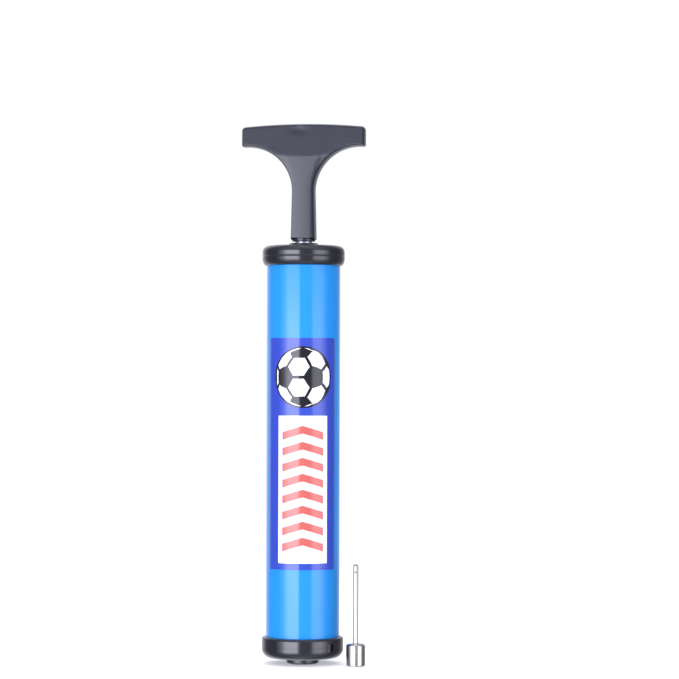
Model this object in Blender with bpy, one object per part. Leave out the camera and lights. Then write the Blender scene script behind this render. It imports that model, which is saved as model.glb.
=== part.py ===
"""A hand pump for balls, standing on its nozzle, with its loose inflation needle beside it.

The frame is in metres with +Z up. Its origin is the centre of the nozzle's end face, on the surface
that the pump stands on. The front of the label faces -Y.
"""

import bmesh
import bpy
from math import cos, pi, radians, sin, sqrt
from mathutils import Matrix, Vector

MM = 0.001

# Fits, in millimetres
REST_GAP = 0.3  # between faces that rest on each other
RUN_GAP = 0.15  # radial, round what slides or turns
SKIN_GAP = 0.06  # between the barrel and its printed film

# Barrel and label
BARREL_R = 15.0
BARREL_WALL = 1.3
BARREL_LENGTH = 161.4
LABEL_THICKNESS = 0.12
LABEL_UP = 28.0  # above the bottom cap's lip
LABEL_HEIGHT = 93.9
LABEL_ANGLE = 122.2  # degrees of the barrel's round
LABEL_TURN = 3.7  # degrees that its middle is turned to the left of the front

# End caps
CAP_FIT = 0.3  # radial, round the barrel
CAP_WALL = 1.6
TOP_CAP_LAP = 5.2
TOP_CAP_PLATE = 2.7
TOP_CAP_ROUND = 3.6
TOP_CAP_LIP_IN = 1.0
BOTTOM_CAP_WALL = 1.4
BOTTOM_CAP_LAP = 4.6
BOTTOM_CAP_FLOOR = 2.5
BOTTOM_CAP_ROUND = 3.6
BOTTOM_CAP_DOME = 0.5

# Nozzle and outlet valve
NOZZLE_STAND = 2.3  # how far the boss stands out of the bottom cap
NOZZLE_R = 6.7
NOZZLE_FLANGE_R = 9.6
NOZZLE_FLANGE = 2.2
NOZZLE_WALL = 1.2
NOZZLE_EDGE = 0.6
SOCKET_SPARE = 0.4  # depth over the needle's hub
SOCKET_FIT = 0.12  # radial, round the needle's hub
SPRING_SHELF = 1.2  # web between the needle socket and the valve chamber
SPRING_SHELF_BORE_R = 1.1
SEAT_THICKNESS = 1.6
SEAT_BORE_R = 1.4
BALL_R = 2.4
BALL_TRAVEL = 1.2
BALL_CLEARANCE = 0.9  # radial, in its chamber
SPRING_WIRE_R = 0.25
SPRING_COIL_R = 1.8
SPRING_TURNS = 5
SPRING_SPARE = 1.3  # room for the closed spring, against its solid height
GASKET_THICKNESS = 1.0
GASKET_INWARD = 1.2  # how far the barrel's gasket reaches in past its bore
NOZZLE_GASKET_BORE_R = 1.5

# Needle
HUB_R = 3.85
HUB_HEIGHT = 9.2
HUB_CHAMFER = 0.6
HUB_FLOOR = 1.6
NEEDLE_R = 1.0
NEEDLE_BORE_R = 0.5
NEEDLE_LENGTH = 41.4  # over hub and tube
NEEDLE_PORT_R = 0.4
NEEDLE_PORT_DOWN = 3.2  # from the tip to the port's middle
NEEDLE_SPACE = 4.3  # between the loose hub and the bottom cap
NEEDLE_DIRECTION = -30.0  # degrees from +X

# Rod and guide
ROD_R = 3.6
ROD_WALL = 0.8
ROD_INTO_HANDLE = 17.0
PLUG_LENGTH = 12.0
GUIDE_WALL = 1.6
GUIDE_FLANGE_R = 6.1
GUIDE_FLANGE = 0.8
GUIDE_LENGTH = 6.4
GUIDE_EDGE = 0.3

# Piston
PISTON_BODY = 6.4
PISTON_HUB_WALL = 2.1
PISTON_HUB = 5.0
CUP_HEIGHT = 4.6
CUP_BASE = 1.4
CUP_LIP = 1.1
CUP_CORNER = 0.9  # inside, where the lip meets the base
CUP_EDGE = 0.8
CUP_RIM = 0.4  # width of the lip's end
SPREADER_R = 7.6
SPREADER_THICKNESS = 1.1
WASHER_R = 3.6
WASHER_THICKNESS = 0.8
SCREW_R = 1.9
SCREW_HEAD_R = 3.1
SCREW_HEAD = 2.2
SCREW_HEAD_EDGE = 0.8
SCREW_LENGTH = 18.0
SCREW_TIP = 0.6
SLOT_WIDTH = 0.9
SLOT_DEPTH = 0.9
WEAR_RING_HEIGHT = 2.8
WEAR_RING_WALL = 1.3
BUMPER_R = 8.4
BUMPER_HEIGHT = 4.0
BUMPER_EDGE = 0.6

# Handle
HANDLE_WIDTH = 50.6
HANDLE_HEIGHT = 47.7  # from the stem's end to the top of the bar
STEM_SIDE_WALL = 1.1  # of the neck, beside the rod
STEM_FRONT_WALL = 1.5  # before and behind the rod
HANDLE_TURN = 8.0  # degrees at rest, right end towards the front
BAR_END_HEIGHT = 8.3
BAR_CROWN = 1.1
BAR_CORNER_R = 1.8
BAR_LOWER_CORNER_R = 1.6
NECK_R = 18.0
STEM_FLARE = 0.45  # from the neck down to the stem's end, on each side
HANDLE_EDGE = 1.4
STEM_CLEARANCE = 1.3  # stem's end over the guide's flange

# Facets round a full turn
FINE = 48
MEDIUM = 32
SMALL = 20
NECK_STEPS = 10  # in the quarter turn from the stem to the bar
CORNER_STEPS = 4
EDGE_STEPS = 3
SPRING_STEPS = 14
WIRE_SIDES = 6
BALL_ROWS = 12
PORT_SIDES = 12
TOOL_PAST = 1.0  # how far a cutter reaches past what it cuts

# Heights worked out from the sizes above
CAP_FLOOR_TOP = NOZZLE_STAND + BOTTOM_CAP_FLOOR
BARREL_BOTTOM = CAP_FLOOR_TOP + GASKET_THICKNESS + 2 * REST_GAP
BARREL_TOP = BARREL_BOTTOM + BARREL_LENGTH
TOP_CAP_BOTTOM = BARREL_TOP - TOP_CAP_LAP
TOP_CAP_INSIDE = BARREL_TOP + REST_GAP
TOP_CAP_TOP = TOP_CAP_INSIDE + TOP_CAP_PLATE
BORE_R = BARREL_R - BARREL_WALL
TOP_CAP_R = BARREL_R + CAP_FIT + CAP_WALL
BOTTOM_CAP_R = BARREL_R + CAP_FIT + BOTTOM_CAP_WALL
BOTTOM_CAP_LIP = BARREL_BOTTOM + BOTTOM_CAP_LAP
LABEL_BOTTOM = BOTTOM_CAP_LIP + LABEL_UP
FLANGE_BOTTOM = CAP_FLOOR_TOP + REST_GAP
SOCKET_DEPTH = HUB_HEIGHT + SOCKET_SPARE
SOCKET_R = HUB_R + SOCKET_FIT
SHELF_BOTTOM = SOCKET_DEPTH + GASKET_THICKNESS + REST_GAP
SHELF_TOP = SHELF_BOTTOM + SPRING_SHELF
SEAT_R = NOZZLE_R - NOZZLE_WALL - REST_GAP
CHAMBER_R = BALL_R + BALL_CLEARANCE
SEAT_DROP = sqrt(BALL_R**2 - SEAT_BORE_R**2)  # the ball's middle below the hole it closes
BALL_UNDER_SEAT = SEAT_DROP + REST_GAP
SPRING_SOLID = SPRING_TURNS * 2 * SPRING_WIRE_R * SPRING_SPARE
CHAMBER_HEIGHT = BALL_UNDER_SEAT + BALL_R + BALL_TRAVEL + SPRING_SOLID
SEAT_BOTTOM = SHELF_TOP + CHAMBER_HEIGHT
SEAT_TOP = SEAT_BOTTOM + SEAT_THICKNESS
NOZZLE_TOP = SEAT_TOP + REST_GAP
BALL_Z = SEAT_BOTTOM - BALL_UNDER_SEAT
HEAD_BOTTOM = NOZZLE_TOP + 2 * REST_GAP
HEAD_TOP = HEAD_BOTTOM + SCREW_HEAD
WASHER_BOTTOM = HEAD_TOP + REST_GAP
SPREADER_BOTTOM = WASHER_BOTTOM + WASHER_THICKNESS + REST_GAP
CUP_TOP = SPREADER_BOTTOM + SPREADER_THICKNESS + REST_GAP + CUP_BASE
PISTON_BOTTOM = CUP_TOP + REST_GAP
PISTON_TOP = PISTON_BOTTOM + PISTON_BODY
HUB_TOP = PISTON_TOP + PISTON_HUB
PISTON_HUB_R = ROD_R + REST_GAP + PISTON_HUB_WALL
ROD_BOTTOM = PISTON_TOP + REST_GAP
GUIDE_SHANK_R = ROD_R + RUN_GAP + GUIDE_WALL
FLANGE_TOP = TOP_CAP_TOP + REST_GAP + GUIDE_FLANGE
STEM_BOTTOM = FLANGE_TOP + STEM_CLEARANCE
ROD_TOP = STEM_BOTTOM + ROD_INTO_HANDLE
HANDLE_TOP = STEM_BOTTOM + HANDLE_HEIGHT
STEM_NECK_HALF = ROD_R + STEM_SIDE_WALL
STEM_END_HALF = STEM_NECK_HALF + STEM_FLARE
HANDLE_DEPTH = 2 * (ROD_R + STEM_FRONT_WALL)
NEEDLE_OUT = BOTTOM_CAP_R + NEEDLE_SPACE + HUB_R


def quarter_steps(radius):
    """How many steps draw a quarter turn of this radius."""
    return max(3, min(8, round(radius) + 2))


def material(name, color, roughness, metallic=0.0):
    m = bpy.data.materials.new(name)
    m.use_nodes = True
    shader = m.node_tree.nodes["Principled BSDF"]
    shader.inputs["Base Color"].default_value = (*color, 1.0)
    shader.inputs["Roughness"].default_value = roughness
    shader.inputs["Metallic"].default_value = metallic
    return m


def add_object(name, mesh, mat, parent=None, at=(0.0, 0.0, 0.0)):
    ob = bpy.data.objects.new(name, mesh)
    ob.location = Vector(at) * MM
    ob.parent = parent
    mesh.materials.append(mat)
    bpy.context.scene.collection.objects.link(ob)
    return ob


def add_empty(name, at, parent=None, turn=0.0):
    ob = bpy.data.objects.new(name, None)
    ob.location = Vector(at) * MM
    ob.rotation_euler.z = radians(turn)
    ob.parent = parent
    ob.empty_display_size = 0.01
    bpy.context.scene.collection.objects.link(ob)
    return ob


def mesh_from(name, bm, sharp=35.0):
    """Makes the mesh, in metres, with its faces pointing out and its round sides smooth."""
    bmesh.ops.recalc_face_normals(bm, faces=bm.faces)
    bmesh.ops.scale(bm, vec=(MM, MM, MM), verts=bm.verts)
    mesh = bpy.data.meshes.new(name)
    bm.to_mesh(mesh)
    bm.free()
    mesh.shade_smooth()
    mesh.set_sharp_from_angle(angle=radians(sharp))
    return mesh


def arc(cx, cz, r, start, end, steps):
    """Points of an arc in the profile's plane, from start to end in degrees."""
    points = []
    for i in range(steps + 1):
        a = radians(start + (end - start) * i / steps)
        points.append((cx + r * cos(a), cz + r * sin(a)))
    return points


def turned(name, profile, sides):
    """Turns a closed outline of (radius, height) points round Z. Points at radius 0 close on the axis."""
    bm = bmesh.new()
    rings = []
    for radius, height in profile:
        if radius < 1e-6:
            rings.append([bm.verts.new((0.0, 0.0, height))])
            continue
        ring = []
        for k in range(sides):
            a = 2 * pi * k / sides
            ring.append(bm.verts.new((radius * cos(a), radius * sin(a), height)))
        rings.append(ring)
    count = len(rings)
    for i in range(count):
        low, high = rings[i], rings[(i + 1) % count]
        if len(low) == 1 and len(high) == 1:
            continue
        for k in range(sides):
            corners = [low[k % len(low)], low[(k + 1) % len(low)]]
            corners += [high[(k + 1) % len(high)], high[k % len(high)]]
            bm.faces.new(list(dict.fromkeys(corners)))
    return mesh_from(name, bm)


def ring_profile(inner, outer, bottom, top, edge=0.0):
    """The outline of a plain ring, with its outer edges chamfered by edge."""
    if edge <= 0.0:
        return [(inner, bottom), (outer, bottom), (outer, top), (inner, top)]
    return [
        (inner, bottom),
        (outer - edge, bottom),
        (outer, bottom + edge),
        (outer, top - edge),
        (outer - edge, top),
        (inner, top),
    ]


def cutter(name, mesh, parent=None, at=(0.0, 0.0, 0.0)):
    ob = bpy.data.objects.new(name, mesh)
    ob.location = Vector(at) * MM
    ob.parent = parent
    ob.hide_render = True
    ob.display_type = "WIRE"
    bpy.context.scene.collection.objects.link(ob)
    return ob


def cut(ob, tool):
    mod = ob.modifiers.new("cut", "BOOLEAN")
    mod.operation = "DIFFERENCE"
    mod.solver = "EXACT"
    mod.object = tool


def box_mesh(name, low, high):
    bm = bmesh.new()
    bmesh.ops.create_cube(bm, size=1.0)
    size = Vector(high) - Vector(low)
    middle = (Vector(high) + Vector(low)) / 2
    bmesh.ops.transform(bm, matrix=Matrix.Translation(middle) @ Matrix.Diagonal((*size, 1.0)), verts=bm.verts)
    return mesh_from(name, bm)


def make_barrel(mats):
    profile = ring_profile(BORE_R, BARREL_R, BARREL_BOTTOM, BARREL_TOP)
    add_object("barrel_tube", turned("barrel_tube", profile, FINE), mats["blue"])


def make_label(mats):
    """A thin curved skin that follows the barrel's round over LABEL_ANGLE."""
    bm = bmesh.new()
    inner = BARREL_R + SKIN_GAP
    outer = inner + LABEL_THICKNESS
    steps = round(LABEL_ANGLE * FINE / 360)
    start = 270 - LABEL_TURN - LABEL_ANGLE / 2
    rows = []
    for i in range(steps + 1):
        a = radians(start + LABEL_ANGLE * i / steps)
        row = []
        for radius, height in ring_profile(inner, outer, LABEL_BOTTOM, LABEL_BOTTOM + LABEL_HEIGHT):
            row.append(bm.verts.new((radius * cos(a), radius * sin(a), height)))
        rows.append(row)
    for before, after in zip(rows, rows[1:]):
        for k in range(4):
            bm.faces.new((before[k], before[(k + 1) % 4], after[(k + 1) % 4], after[k]))
    bm.faces.new(rows[0])
    bm.faces.new(rows[-1])
    add_object("barrel_label", mesh_from("barrel_label", bm), mats["label"])


def make_top_cap(mats):
    inside = BARREL_R + CAP_FIT
    hole = GUIDE_SHANK_R + REST_GAP
    profile = [
        (inside, TOP_CAP_BOTTOM),
        (TOP_CAP_R - TOP_CAP_LIP_IN, TOP_CAP_BOTTOM),
        (TOP_CAP_R, TOP_CAP_BOTTOM + 2 * TOP_CAP_LIP_IN),
    ]
    profile += arc(
        TOP_CAP_R - TOP_CAP_ROUND,
        TOP_CAP_TOP - TOP_CAP_ROUND,
        TOP_CAP_ROUND,
        0,
        90,
        quarter_steps(TOP_CAP_ROUND),
    )
    profile += [(hole, TOP_CAP_TOP), (hole, TOP_CAP_INSIDE), (inside, TOP_CAP_INSIDE)]
    add_object("top_cap", turned("top_cap", profile, FINE), mats["gloss_black"])


def make_guide(mats):
    """The bush that guides the rod, pressed into the top cap from above."""
    bore = ROD_R + RUN_GAP
    bottom = FLANGE_TOP - GUIDE_FLANGE
    profile = [
        (bore, bottom - GUIDE_LENGTH),
        (GUIDE_SHANK_R, bottom - GUIDE_LENGTH),
        (GUIDE_SHANK_R, bottom),
        (GUIDE_FLANGE_R, bottom),
        (GUIDE_FLANGE_R, FLANGE_TOP - GUIDE_EDGE),
        (GUIDE_FLANGE_R - GUIDE_EDGE, FLANGE_TOP),
        (bore, FLANGE_TOP),
    ]
    add_object("rod_guide_bush", turned("rod_guide_bush", profile, MEDIUM), mats["gloss_black"])


def make_bottom_cap(mats):
    inside = BARREL_R + CAP_FIT
    hole = NOZZLE_R + REST_GAP
    edge_bottom = NOZZLE_STAND + BOTTOM_CAP_DOME
    round_start = BOTTOM_CAP_R - BOTTOM_CAP_ROUND
    profile = [(hole, NOZZLE_STAND)]
    profile += arc(
        round_start,
        edge_bottom + BOTTOM_CAP_ROUND,
        BOTTOM_CAP_ROUND,
        -90,
        0,
        quarter_steps(BOTTOM_CAP_ROUND),
    )
    profile += [(BOTTOM_CAP_R, BOTTOM_CAP_LIP), (inside, BOTTOM_CAP_LIP)]
    profile += [(inside, CAP_FLOOR_TOP), (hole, CAP_FLOOR_TOP)]
    add_object("bottom_cap", turned("bottom_cap", profile, FINE), mats["gloss_black"])


def make_barrel_gasket(mats):
    bottom = CAP_FLOOR_TOP + REST_GAP
    profile = ring_profile(BORE_R - GASKET_INWARD, BARREL_R, bottom, bottom + GASKET_THICKNESS)
    add_object("barrel_gasket", turned("barrel_gasket", profile, FINE), mats["rubber"])


def make_nozzle(mats):
    """The insert that stands out of the bottom cap: needle socket below, valve chamber above."""
    seat_hole = SEAT_R + REST_GAP
    flange_top = FLANGE_BOTTOM + NOZZLE_FLANGE
    profile = [
        (SOCKET_R, 0.0),
        (NOZZLE_R - NOZZLE_EDGE, 0.0),
        (NOZZLE_R, NOZZLE_EDGE),
        (NOZZLE_R, FLANGE_BOTTOM),
        (NOZZLE_FLANGE_R, FLANGE_BOTTOM),
        (NOZZLE_FLANGE_R, flange_top),
        (NOZZLE_R, flange_top),
        (NOZZLE_R, NOZZLE_TOP),
        (seat_hole, NOZZLE_TOP),
        (seat_hole, SEAT_BOTTOM - REST_GAP),
        (CHAMBER_R, SEAT_BOTTOM - REST_GAP),
        (CHAMBER_R, SHELF_TOP),
        (SPRING_SHELF_BORE_R, SHELF_TOP),
        (SPRING_SHELF_BORE_R, SHELF_BOTTOM),
        (SOCKET_R, SHELF_BOTTOM),
    ]
    add_object("nozzle_insert", turned("nozzle_insert", profile, MEDIUM), mats["matte_black"])
    gasket = ring_profile(
        NOZZLE_GASKET_BORE_R,
        SOCKET_R - REST_GAP,
        SOCKET_DEPTH,
        SOCKET_DEPTH + GASKET_THICKNESS,
    )
    add_object("nozzle_gasket", turned("nozzle_gasket", gasket, SMALL), mats["rubber"])
    seat = ring_profile(SEAT_BORE_R, SEAT_R, SEAT_BOTTOM, SEAT_TOP)
    add_object("valve_seat", turned("valve_seat", seat, SMALL), mats["brass"])


def make_valve(mats):
    ball_at = add_empty("check_valve_axis", (0.0, 0.0, BALL_Z))
    bm = bmesh.new()
    bmesh.ops.create_uvsphere(bm, u_segments=SMALL, v_segments=BALL_ROWS, radius=BALL_R)
    add_object("check_ball", mesh_from("check_ball", bm), mats["steel"], ball_at)
    bottom = SHELF_TOP + REST_GAP + SPRING_WIRE_R
    top = BALL_Z - BALL_R - REST_GAP - SPRING_WIRE_R
    add_object("valve_spring", spring_mesh(bottom, top), mats["steel"])


def spring_mesh(bottom, top):
    """A coil spring of round wire, its ends closed by flat caps."""
    bm = bmesh.new()
    rings = []
    for i in range(SPRING_TURNS * SPRING_STEPS + 1):
        a = 2 * pi * i / SPRING_STEPS
        height = bottom + (top - bottom) * i / (SPRING_TURNS * SPRING_STEPS)
        out = Vector((cos(a), sin(a), 0.0))
        middle = out * SPRING_COIL_R + Vector((0.0, 0.0, height))
        ring = []
        for k in range(WIRE_SIDES):
            b = 2 * pi * k / WIRE_SIDES
            offset = out * cos(b) + Vector((0.0, 0.0, sin(b)))
            ring.append(bm.verts.new(middle + offset * SPRING_WIRE_R))
        rings.append(ring)
    for before, after in zip(rings, rings[1:]):
        for k in range(WIRE_SIDES):
            after_k = (k + 1) % WIRE_SIDES
            bm.faces.new((before[k], before[after_k], after[after_k], after[k]))
    bm.faces.new(rings[0])
    bm.faces.new(rings[-1])
    return mesh_from("valve_spring", bm)


def make_piston(mats, slide):
    """The pieces at the rod's lower end, which slide in the barrel."""
    screw_hole = SCREW_R + REST_GAP
    body_r = BORE_R - 2 * RUN_GAP
    groove_r = BORE_R - RUN_GAP - WEAR_RING_WALL - REST_GAP
    groove_low = PISTON_BOTTOM + (PISTON_BODY - WEAR_RING_HEIGHT) / 2 - REST_GAP
    groove_high = groove_low + WEAR_RING_HEIGHT + 2 * REST_GAP
    rod_hole = ROD_R + REST_GAP
    head = [
        (screw_hole, PISTON_BOTTOM),
        (body_r, PISTON_BOTTOM),
        (body_r, groove_low),
        (groove_r, groove_low),
        (groove_r, groove_high),
        (body_r, groove_high),
        (body_r, PISTON_TOP),
        (PISTON_HUB_R, PISTON_TOP),
        (PISTON_HUB_R, HUB_TOP),
        (rod_hole, HUB_TOP),
        (rod_hole, PISTON_TOP),
        (screw_hole, PISTON_TOP),
    ]
    add_object("piston_head", turned("piston_head", lowered(head), FINE), mats["white"], slide)
    ring = ring_profile(
        groove_r + REST_GAP,
        BORE_R - RUN_GAP,
        groove_low + REST_GAP,
        groove_high - REST_GAP,
    )
    add_object("piston_wear_ring", turned("piston_wear_ring", lowered(ring), FINE), mats["white"], slide)
    cup_bottom = CUP_TOP - CUP_HEIGHT
    lip_r = BORE_R - RUN_GAP
    cup = [
        (screw_hole, CUP_TOP - CUP_BASE),
        (lip_r - CUP_LIP - CUP_CORNER, CUP_TOP - CUP_BASE),
        (lip_r - CUP_LIP, CUP_TOP - CUP_BASE - CUP_CORNER),
        (lip_r - CUP_RIM, cup_bottom),
        (lip_r, cup_bottom),
        (lip_r, cup_bottom + CUP_EDGE),
        (body_r, CUP_TOP - CUP_EDGE),
        (body_r - CUP_EDGE, CUP_TOP),
        (screw_hole, CUP_TOP),
    ]
    add_object("piston_cup", turned("piston_cup", lowered(cup), FINE), mats["rubber"], slide)
    spreader = ring_profile(screw_hole, SPREADER_R, SPREADER_BOTTOM, SPREADER_BOTTOM + SPREADER_THICKNESS)
    add_object("cup_spreader", turned("cup_spreader", lowered(spreader), MEDIUM), mats["steel"], slide)
    bumper_bottom = HUB_TOP + REST_GAP
    bumper_top = bumper_bottom + BUMPER_HEIGHT
    bumper = ring_profile(ROD_R + REST_GAP, BUMPER_R, bumper_bottom, bumper_top, BUMPER_EDGE)
    add_object("stop_bumper", turned("stop_bumper", lowered(bumper), MEDIUM), mats["rubber"], slide)


def lowered(profile):
    """A profile's heights from the piston's own origin instead of the surface."""
    return [(radius, height - PISTON_BOTTOM) for radius, height in profile]


def make_rod(mats, turn):
    rod = ring_profile(ROD_R - ROD_WALL, ROD_R, ROD_BOTTOM, ROD_TOP)
    add_object("piston_rod", turned("piston_rod", lowered(rod), MEDIUM), mats["chrome"], turn)
    plug = ring_profile(
        SCREW_R + REST_GAP / 2,
        ROD_R - ROD_WALL - REST_GAP / 2,
        ROD_BOTTOM,
        ROD_BOTTOM + PLUG_LENGTH,
    )
    add_object("rod_end_plug", turned("rod_end_plug", lowered(plug), SMALL), mats["brass"], turn)
    washer = ring_profile(SCREW_R + REST_GAP, WASHER_R, WASHER_BOTTOM, WASHER_BOTTOM + WASHER_THICKNESS)
    add_object("screw_washer", turned("screw_washer", lowered(washer), SMALL), mats["steel"], turn)
    screw = [
        (0.0, HEAD_BOTTOM),
        (SCREW_HEAD_R - SCREW_HEAD_EDGE, HEAD_BOTTOM),
        (SCREW_HEAD_R, HEAD_BOTTOM + SCREW_HEAD_EDGE),
        (SCREW_HEAD_R, HEAD_TOP),
        (SCREW_R, HEAD_TOP),
        (SCREW_R, HEAD_TOP + SCREW_LENGTH - SCREW_TIP),
        (SCREW_R - SCREW_TIP, HEAD_TOP + SCREW_LENGTH),
        (0.0, HEAD_TOP + SCREW_LENGTH),
    ]
    ob = add_object("piston_screw", turned("piston_screw", lowered(screw), SMALL), mats["steel"], turn)
    low = HEAD_BOTTOM - PISTON_BOTTOM
    tool = box_mesh(
        "screw_slot_cutter",
        (-SCREW_HEAD_R - TOOL_PAST, -SLOT_WIDTH / 2, low - TOOL_PAST),
        (SCREW_HEAD_R + TOOL_PAST, SLOT_WIDTH / 2, low + SLOT_DEPTH),
    )
    cut(ob, cutter("screw_slot_cutter", tool, turn))


def handle_outline():
    """The right half of the T's front outline, from the middle of the stem's end up to the bar's top."""
    half = HANDLE_WIDTH / 2
    bar_bottom = HANDLE_TOP - BAR_CROWN - BAR_END_HEIGHT
    neck_z = bar_bottom - NECK_R
    points = [(STEM_END_HALF, STEM_BOTTOM)]
    points += arc(STEM_NECK_HALF + NECK_R, neck_z, NECK_R, 180, 90, NECK_STEPS)
    points += arc(
        half - BAR_LOWER_CORNER_R,
        bar_bottom + BAR_LOWER_CORNER_R,
        BAR_LOWER_CORNER_R,
        -90,
        0,
        EDGE_STEPS,
    )
    points += arc(
        half - BAR_CORNER_R,
        HANDLE_TOP - BAR_CROWN - BAR_CORNER_R,
        BAR_CORNER_R,
        0,
        80,
        CORNER_STEPS,
    )
    top_start = points[-1]
    for i in range(1, CORNER_STEPS + 1):
        share = i / CORNER_STEPS
        x = top_start[0] * (1 - share)
        z = HANDLE_TOP - (HANDLE_TOP - top_start[1]) * (x / top_start[0]) ** 2
        points.append((x, z))
    return points


def make_handle(mats, turn):
    """The T handle: its front outline pushed through the handle's depth, edges rounded."""
    bm = bmesh.new()
    right = handle_outline()
    left = [(-x, z) for x, z in reversed(right) if x > 1e-6]
    corners = [
        bm.verts.new((x, -HANDLE_DEPTH / 2, z - PISTON_BOTTOM)) for x, z in right + left
    ]
    face = bm.faces.new(corners)
    pushed = bmesh.ops.extrude_face_region(bm, geom=[face])
    moved = [v for v in pushed["geom"] if isinstance(v, bmesh.types.BMVert)]
    bmesh.ops.translate(bm, vec=(0.0, HANDLE_DEPTH, 0.0), verts=moved)
    bmesh.ops.recalc_face_normals(bm, faces=bm.faces)
    rims = [e for e in bm.edges if abs(e.verts[0].co.y - e.verts[1].co.y) < 1e-6]
    bmesh.ops.bevel(bm, geom=rims, offset=HANDLE_EDGE, segments=EDGE_STEPS, profile=0.5, affect="EDGES")
    ob = add_object("t_handle", mesh_from("t_handle", bm), mats["charcoal"], turn)
    bore_bottom = STEM_BOTTOM - PISTON_BOTTOM - TOOL_PAST
    bore_top = ROD_TOP - PISTON_BOTTOM + REST_GAP
    bore_r = ROD_R + REST_GAP / 2
    hole = [(0.0, bore_bottom), (bore_r, bore_bottom), (bore_r, bore_top), (0.0, bore_top)]
    cut(ob, cutter("handle_bore_cutter", turned("handle_bore_cutter", hole, MEDIUM), turn))


def make_needle(mats):
    """The loose needle, standing on its hub on the surface beside the pump."""
    direction = radians(NEEDLE_DIRECTION)
    lift = add_empty("needle_axis", (NEEDLE_OUT * cos(direction), NEEDLE_OUT * sin(direction), 0.0))
    hub_bore = NEEDLE_R + REST_GAP / 2
    hub = [
        (NEEDLE_BORE_R, 0.0),
        (HUB_R - HUB_CHAMFER, 0.0),
        (HUB_R, HUB_CHAMFER),
        (HUB_R, HUB_HEIGHT - HUB_CHAMFER),
        (HUB_R - HUB_CHAMFER, HUB_HEIGHT),
        (hub_bore, HUB_HEIGHT),
        (hub_bore, HUB_FLOOR),
        (NEEDLE_BORE_R, HUB_FLOOR),
    ]
    add_object("needle_hub", turned("needle_hub", hub, SMALL), mats["nickel"], lift)
    tube_bottom = HUB_FLOOR + REST_GAP
    tube = [(NEEDLE_BORE_R, tube_bottom), (NEEDLE_R, tube_bottom)]
    tube += arc(0.0, NEEDLE_LENGTH - NEEDLE_R, NEEDLE_R, 0, 90, CORNER_STEPS)[:-1]
    bore_top = NEEDLE_LENGTH - NEEDLE_R - NEEDLE_BORE_R
    tube += [(0.0, NEEDLE_LENGTH), (0.0, bore_top), (NEEDLE_BORE_R, bore_top)]
    ob = add_object("needle_tube", turned("needle_tube", tube, SMALL), mats["nickel"], lift)
    bm = bmesh.new()
    bmesh.ops.create_cone(
        bm,
        cap_ends=True,
        segments=PORT_SIDES,
        radius1=NEEDLE_PORT_R,
        radius2=NEEDLE_PORT_R,
        depth=2 * NEEDLE_R,
    )
    place = Matrix.Translation((0.0, -NEEDLE_R, NEEDLE_LENGTH - NEEDLE_PORT_DOWN))
    bmesh.ops.transform(bm, matrix=place @ Matrix.Rotation(radians(90), 4, "X"), verts=bm.verts)
    cut(ob, cutter("needle_port_cutter", mesh_from("needle_port_cutter", bm), lift))


def main():
    for ob in list(bpy.data.objects):
        bpy.data.objects.remove(ob, do_unlink=True)
    mats = {
        "blue": material("gloss_blue_plastic", (0.05, 0.38, 0.93), 0.25),
        "label": material("printed_film", (0.09, 0.13, 0.75), 0.3),
        "gloss_black": material("gloss_black_plastic", (0.02, 0.02, 0.025), 0.15),
        "matte_black": material("matte_black_plastic", (0.025, 0.025, 0.03), 0.4),
        "charcoal": material("charcoal_plastic", (0.08, 0.08, 0.1), 0.5),
        "white": material("white_plastic", (0.8, 0.8, 0.78), 0.4),
        "rubber": material("black_rubber", (0.02, 0.02, 0.02), 0.7),
        "brass": material("brass", (0.75, 0.55, 0.25), 0.3, 1.0),
        "steel": material("steel", (0.6, 0.6, 0.6), 0.3, 1.0),
        "chrome": material("chrome_plate", (0.75, 0.75, 0.77), 0.12, 1.0),
        "nickel": material("nickel_plate", (0.72, 0.7, 0.66), 0.15, 1.0),
    }
    make_barrel(mats)
    make_label(mats)
    make_top_cap(mats)
    make_guide(mats)
    make_bottom_cap(mats)
    make_barrel_gasket(mats)
    make_nozzle(mats)
    make_valve(mats)
    slide = add_empty("piston_slide_axis", (0.0, 0.0, PISTON_BOTTOM))
    turn = add_empty("handle_turn_axis", (0.0, 0.0, 0.0), slide, -HANDLE_TURN)
    make_piston(mats, slide)
    make_rod(mats, turn)
    make_handle(mats, turn)
    make_needle(mats)


main()
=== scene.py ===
"""Looks of a hand pump for balls and its loose needle, built round the fixed CAD frame. Metres, +Z up."""

import math

import bmesh
import bpy
import numpy as np
from mathutils import Matrix, Quaternion, Vector, geometry


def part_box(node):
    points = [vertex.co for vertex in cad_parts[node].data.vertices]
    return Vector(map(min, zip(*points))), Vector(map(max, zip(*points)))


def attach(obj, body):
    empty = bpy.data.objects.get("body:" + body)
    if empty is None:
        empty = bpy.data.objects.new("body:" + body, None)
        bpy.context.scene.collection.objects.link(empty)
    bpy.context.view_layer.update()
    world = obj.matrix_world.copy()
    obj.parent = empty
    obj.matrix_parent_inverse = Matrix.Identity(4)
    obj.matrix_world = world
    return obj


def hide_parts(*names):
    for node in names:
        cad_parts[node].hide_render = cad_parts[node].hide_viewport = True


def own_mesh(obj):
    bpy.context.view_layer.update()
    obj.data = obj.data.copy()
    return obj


MM = 0.001
SHARP_EDGE = math.radians(40.0)

# Fits and walls, in millimetres
BARREL_WALL = 1.3
CAP_GAP = 0.12  # radial, between a cap and the barrel
LABEL_GAP = 0.04  # under the film
LABEL_FILM = 0.12
ROD_GAP = 0.15
ROD_WALL = 0.8
REST_GAP = 0.3

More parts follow.
